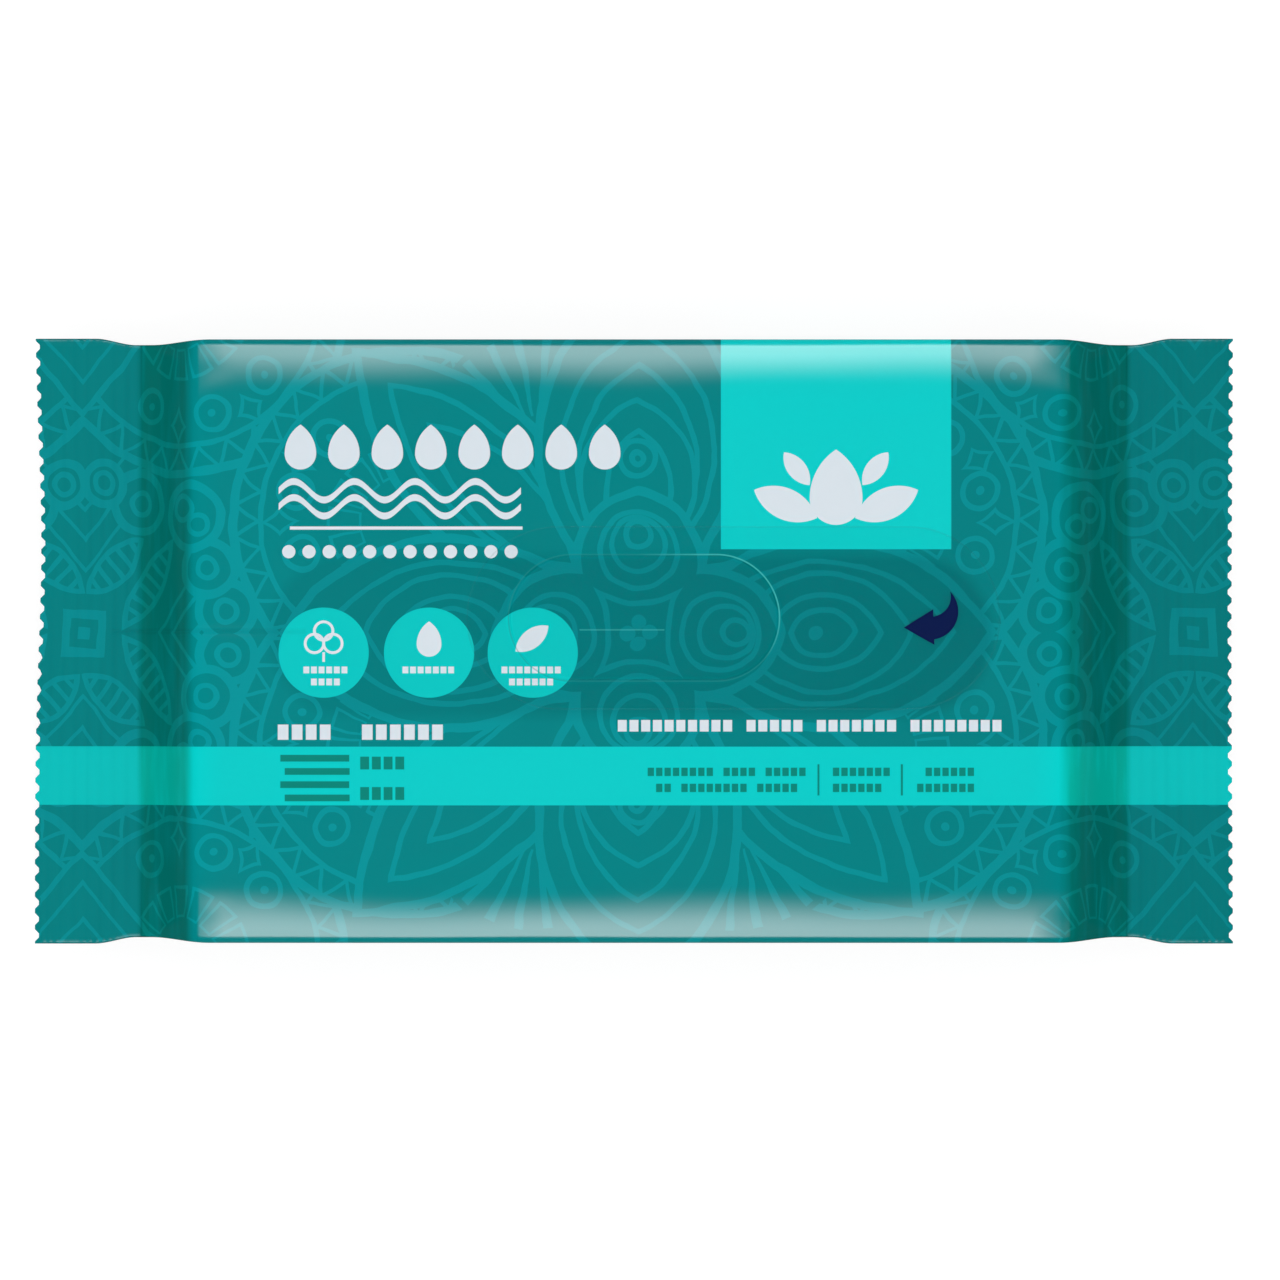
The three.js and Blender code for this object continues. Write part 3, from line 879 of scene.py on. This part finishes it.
film_surface = start.node("BsdfPrincipled", {}, {
    "Base Color": colour, "Roughness": INK_ROUGHNESS, "Specular IOR Level": 0.0, "Normal": bumps,
    "Coat Weight": 1.0 - dull * SKIN_DULLING, "Coat Roughness": SKIN_ROUGHNESS,
    "Coat IOR": SKIN_IOR})
start.node("OutputMaterial", {}, {"Surface": film_surface})
film_mesh(film_material)


# The flap is the piece of the same film inside the cut line. It has been cut free all round and
# stays in its place, stuck under the label.
FLAP_LIFT, FLAP_THICKNESS = 0.07, 0.06
CAP_STEPS, SIDE_STEPS = 33, 41
TOP_LOOPS = (*np.linspace(0.0, 0.97, 18), 0.988, 0.996)


def round_ended_sheet(name, low, high, lift, thickness, node, material):
    """A thin sheet with round ends that follows the top panel, closed below and at its edge."""
    middle = ((low.x + high.x) / 2, (low.y + high.y) / 2)
    radius = (high.y - low.y) / 2
    straight = (high.x - low.x) / 2 - radius
    cap = np.linspace(-math.pi / 2, math.pi / 2, CAP_STEPS)
    run = np.linspace(-1.0, 1.0, SIDE_STEPS)[1:-1]
    outline = [(straight, math.cos(a), math.sin(a)) for a in cap]
    outline += [(-straight * share, 0.0, 1.0) for share in run]
    outline += [(-straight, -math.cos(a), -math.sin(a)) for a in cap]
    outline += [(straight * share, 0.0, -1.0) for share in run]
    spine, out_x, out_y = np.array(outline).T
    top = [(share, 0.0) for share in TOP_LOOPS] + [(1.0, 0.5)]
    levels = top + [(share, 1.0) for share, _ in reversed(top)]
    loops = []
    for share, down in levels:
        x = middle[0] + spine + share * radius * out_x
        y = middle[1] + share * radius * out_y
        loops.append(np.stack([x, y, panel_height(x, y) + lift - thickness * down], axis=1))
    points = np.concatenate(loops)
    count = len(spine)
    i, j = np.meshgrid(np.arange(len(levels) - 1), np.arange(count), indexing="ij")
    k = (j + 1) % count
    inner, outer = i * count, (i + 1) * count
    faces = np.stack([inner + j, outer + j, outer + k, inner + k], axis=-1).reshape(-1, 4)
    film = points[faces][..., :2]
    size = np.array([high.x - low.x, high.y - low.y])
    flat = (film - np.array([low.x, low.y])) / size
    below = (faces.min(axis=1) >= len(top) * count).reshape(-1, 1, 1)
    bake = flat * np.array([1.0, 0.49]) + below * np.array([0.0, 0.5])
    return mesh_piece(name, points, faces, {"film": film, "OFBake": bake}, node, material)


round_ended_sheet("cut_film_flap", flap_low, flap_high, FLAP_LIFT, FLAP_THICKNESS,
                  "opening_flap", film_material)

# The label is thin clear film with its glue side down. It holds the flap shut, and a bent arrow
# printed in navy at its pull end shows where to lift it.
LABEL_LIFT, LABEL_THICKNESS = 0.15, 0.06
NAVY = (0.0008, 0.008, 0.066, 1.0)
CLEAR = (0.0, 0.03, 0.03, 1.0)
RIM_HIGHLIGHT = (0.03, 0.34, 0.35, 1.0)
ARROW_HEAD = ((33.64, 1.69), (37.3, 3.98), (37.45, -0.46))
ARROW_NOTCH = 37.2
TAIL_OUTSIDE, TAIL_OUTSIDE_RADIUS = (36.90, 3.71), 3.53
TAIL_INSIDE, TAIL_INSIDE_RADIUS = (37.0, 5.55), 2.50
RIM_WIDTH = 0.22
CLEAR_ALPHA, RIM_ALPHA = 0.012, 0.04

label_low, label_high = (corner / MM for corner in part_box("reseal_label"))
label_material, start = shader_tree("clear_label")
film_map = start.node("UVMap", {"uv_map": "film"})
film_u = start.node("SeparateXYZ", {}, {0: film_map})
film_s = start.node("SeparateXYZ", {}, {0: film_map}, output=1)
place = joined(film_u, film_s)
head = None
for (x0, y0), (x1, y1) in zip(ARROW_HEAD, ARROW_HEAD[1:] + ARROW_HEAD[:1]):
    inside = (film_u - x0) * (y1 - y0) - (film_s - y0) * (x1 - x0) > 0.0
    head = inside if head is None else head & inside
tail = place.distance(*TAIL_OUTSIDE) < TAIL_OUTSIDE_RADIUS
tail = tail & (place.distance(*TAIL_INSIDE) > TAIL_INSIDE_RADIUS)
arrow = head | (tail & (film_u > ARROW_NOTCH))
label_radius = (label_high.y - label_low.y) / 2
label_middle = ((label_low.x + label_high.x) / 2, (label_low.y + label_high.y) / 2)
edge = round_ended((label_high.x - label_low.x) / 2 - label_radius, label_middle)
# a faint painted highlight in a lighter teal along the label's edge
painted_rim = edge > label_radius - RIM_WIDTH
alpha = (painted_rim * RIM_ALPHA + CLEAR_ALPHA) | arrow
colour = arrow.mixed(painted_rim.mixed(CLEAR, RIM_HIGHLIGHT), NAVY)
label_surface = start.node("BsdfPrincipled", {}, {
    "Base Color": colour, "Alpha": alpha, "Roughness": 0.2, "IOR": 1.45})
start.node("OutputMaterial", {}, {"Surface": label_surface})
round_ended_sheet("clear_reseal_label", label_low, label_high, LABEL_LIFT, LABEL_THICKNESS,
                  "reseal_label", label_material)
